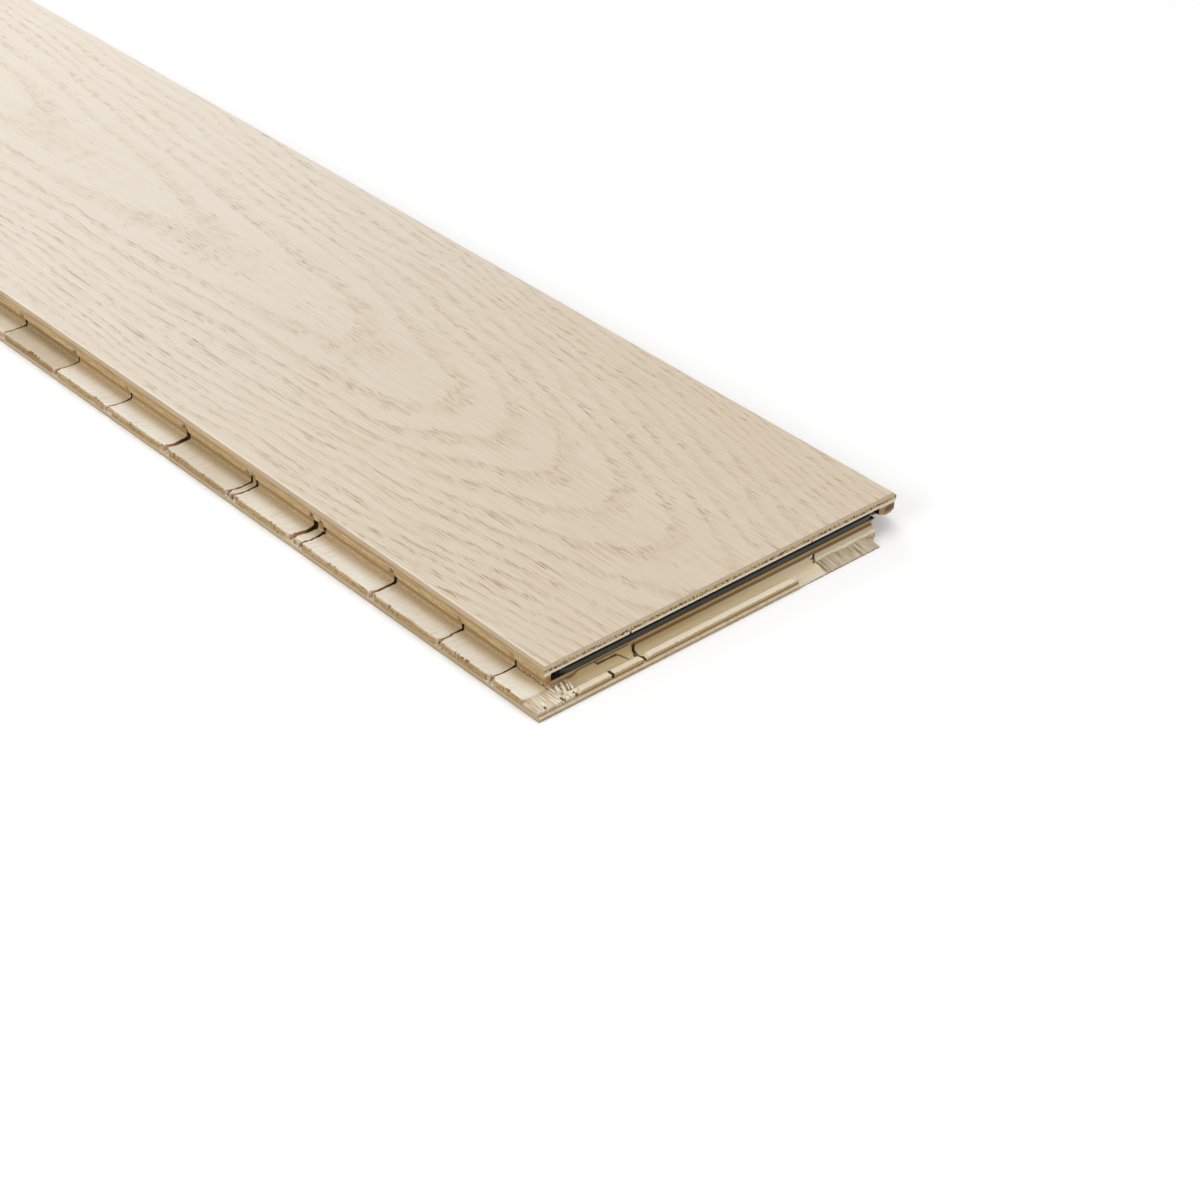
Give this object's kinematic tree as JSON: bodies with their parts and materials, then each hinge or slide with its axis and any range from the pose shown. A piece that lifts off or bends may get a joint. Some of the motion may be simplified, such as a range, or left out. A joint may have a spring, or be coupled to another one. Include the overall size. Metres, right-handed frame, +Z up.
{
  "type": "engineered oak floorboard",
  "caption": "Wide three-layer oak floorboard with a cross-slat softwood core, milled click edges and a plastic locking tongue in one end.",
  "frame": {"origin": "on the underside, under the middle of the laid face", "axes": "+X along the board towards the end with the locking tongue, +Y across it towards the tongue edge, +Z up out of the oak face"},
  "size_m": [1.9095, 0.2023, 0.014],
  "materials": {
    "oak": "white-oiled matt",
    "core_softwood": "raw milled",
    "back_veneer": "raw",
    "locking_tongue": "moulded matt"
  },
  "bodies": {
    "root": {"back_veneer": "back_veneer", "core_end_slat_left": "core_softwood", "core_end_slat_middle": "core_softwood", "core_end_slat_right": "core_softwood", "core_slat_02": "core_softwood", "core_slat_03": "core_softwood", "core_slat_04": "core_softwood", "core_slat_05": "core_softwood", "core_slat_06": "core_softwood", "core_slat_07": "core_softwood", "core_slat_08": "core_softwood", "core_slat_09": "core_softwood", "core_slat_10": "core_softwood", "core_slat_11": "core_softwood", "core_slat_12": "core_softwood", "core_slat_13": "core_softwood", "core_slat_14": "core_softwood", "core_slat_15": "core_softwood", "core_slat_16": "core_softwood", "core_slat_17": "core_softwood", "core_slat_18": "core_softwood", "core_slat_19": "core_softwood", "core_slat_20": "core_softwood", "core_slat_21": "core_softwood", "core_slat_22": "core_softwood", "core_slat_23": "core_softwood", "core_slat_24": "core_softwood", "core_slat_25": "core_softwood", "core_slat_26": "core_softwood", "core_slat_27": "core_softwood", "core_slat_28": "core_softwood", "core_slat_29": "core_softwood", "core_slat_30": "core_softwood", "core_slat_31": "core_softwood", "core_slat_32": "core_softwood", "core_slat_33": "core_softwood", "core_slat_34": "core_softwood", "core_slat_35": "core_softwood", "core_slat_36": "core_softwood", "core_slat_37": "core_softwood", "core_slat_38": "core_softwood", "core_slat_39": "core_softwood", "core_slat_40": "core_softwood", "core_slat_41": "core_softwood", "core_slat_42": "core_softwood", "core_slat_43": "core_softwood", "core_slat_44": "core_softwood", "core_slat_45": "core_softwood", "core_slat_46": "core_softwood", "core_slat_47": "core_softwood", "core_slat_48": "core_softwood", "core_slat_49": "core_softwood", "locking_tongue": "locking_tongue", "oak_wear_layer": "oak"}
  },
  "joints": []
}
